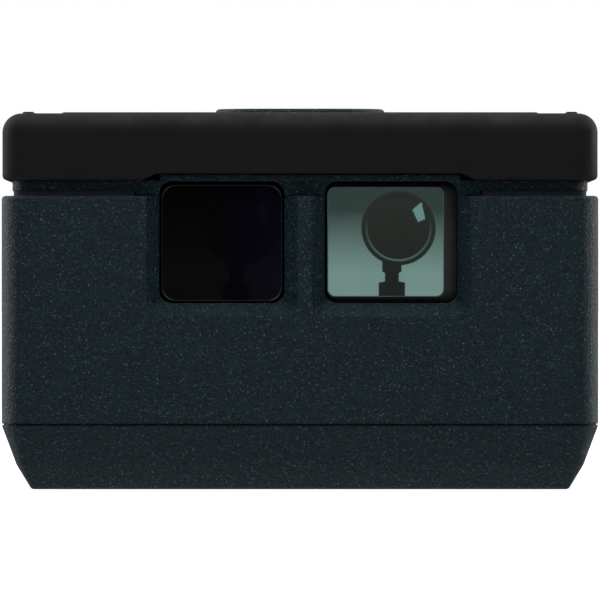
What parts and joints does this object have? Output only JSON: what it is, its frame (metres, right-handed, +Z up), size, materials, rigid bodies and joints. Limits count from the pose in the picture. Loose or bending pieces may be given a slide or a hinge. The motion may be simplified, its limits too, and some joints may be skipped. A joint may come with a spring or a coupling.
{
  "type": "laser distance meter",
  "caption": "Pocket laser distance meter: textured teal case, soft black bumper, square emitter window and receiver lens at the front, display, measuring key and battery cover.",
  "frame": {"origin": "middle of the case's outline, on the flat back face", "axes": "+Z up through the display deck, -Y out of the lens end, +Y towards the tail, +X to the right seen from the lens end"},
  "size_m": [0.036, 0.101, 0.0235],
  "materials": {
    "teal_shell": "spark-eroded fine grain",
    "black_soft": "matt soft-touch moulding",
    "key_rubber": "satin soft-touch key",
    "seal_rubber": "matt",
    "mat_rubber": "matt silicone",
    "foam": "fine cell foam",
    "display_glass": "polished acrylic",
    "lcd_glass": "grey-green liquid crystal panel",
    "frame_plastic": "matt black",
    "white_plastic": "satin white",
    "board_green": "solder mask",
    "chip_plastic": "matt epoxy",
    "coil_core": "fired ferrite",
    "capacitor_ceramic": "fired ceramic",
    "sheet_steel": "nickel plated",
    "screw_steel": "zinc plated",
    "brass": "turned",
    "clear_glass": "polished, coated",
    "dark_window": "polished, nearly black, violet cast",
    "coated_lens": "polished, teal reflecting filter coating",
    "flex_film": "amber film",
    "cell_can": "plain printed sleeve over steel",
    "label_film": "blank film"
  },
  "bodies": {
    "case": {"back_label": "label_film", "backlight_plate": "white_plastic", "bandpass_filter": "dark_window", "battery_tray": "frame_plastic", "board_link": "frame_plastic", "board_screws": "screw_steel", "case_screws": "screw_steel", "case_seal": "seal_rubber", "cell_left": "cell_can", "cell_right": "cell_can", "cell_springs": "sheet_steel", "chassis_screws": "screw_steel", "chip_capacitors": "capacitor_ceramic", "collimator_barrel": "brass", "collimator_lens": "clear_glass", "contact_plates": "sheet_steel", "control_chip": "chip_plastic", "crystal_can": "sheet_steel", "display_board": "board_green", "display_window": "display_glass", "emitter_window": "dark_window", "keypad_mat": "mat_rubber", "laser_diode": "sheet_steel", "laser_flex": "flex_film", "lcd_frame": "frame_plastic", "lcd_panel": "lcd_glass", "lower_shell": "teal_shell", "main_board": "board_green", "metal_domes": "sheet_steel", "optics_chassis": "frame_plastic", "photodiode": "chip_plastic", "power_coil": "coil_core", "receiver_board": "board_green", "receiver_lens": "coated_lens", "receiver_tube": "frame_plastic", "shield_can": "sheet_steel", "soft_bumper": "black_soft", "sounder": "frame_plastic", "timing_chip": "chip_plastic", "upper_shell": "teal_shell", "window_seals": "seal_rubber", "zebra_strip": "seal_rubber"},
    "measure": {"measure_button": "key_rubber"},
    "mode": {"mode_key": "key_rubber"},
    "clear": {"clear_key": "key_rubber"},
    "cover": {"battery_cover": "teal_shell", "cover_pad": "foam"},
    "latch": {"cover_latch": "teal_shell"}
  },
  "joints": [
    {"name": "measure_press", "type": "slide", "parent": "case", "child": "measure", "axis": [0, 0, -1], "range_m": [0, 0.0004], "stiffness_N_per_m": 3000, "springref_m": -0.0003},
    {"name": "mode_press", "type": "slide", "parent": "case", "child": "mode", "axis": [0, 0, -1], "range_m": [0, 0.00035], "stiffness_N_per_m": 2500, "springref_m": -0.0003},
    {"name": "clear_press", "type": "slide", "parent": "case", "child": "clear", "axis": [0, 0, -1], "range_m": [0, 0.00035], "stiffness_N_per_m": 2500, "springref_m": -0.0003},
    {"name": "cover_hinge", "type": "hinge", "parent": "case", "child": "cover", "pos_m": [0, 0.00012, 0.00005], "axis": [-1, 0, 0], "range_deg": [0, 25]},
    {"name": "latch_slide", "type": "slide", "parent": "cover", "child": "latch", "axis": [0, -1, 0], "range_m": [0, 0.0007], "stiffness_N_per_m": 2000, "springref_m": -0.0003}
  ]
}
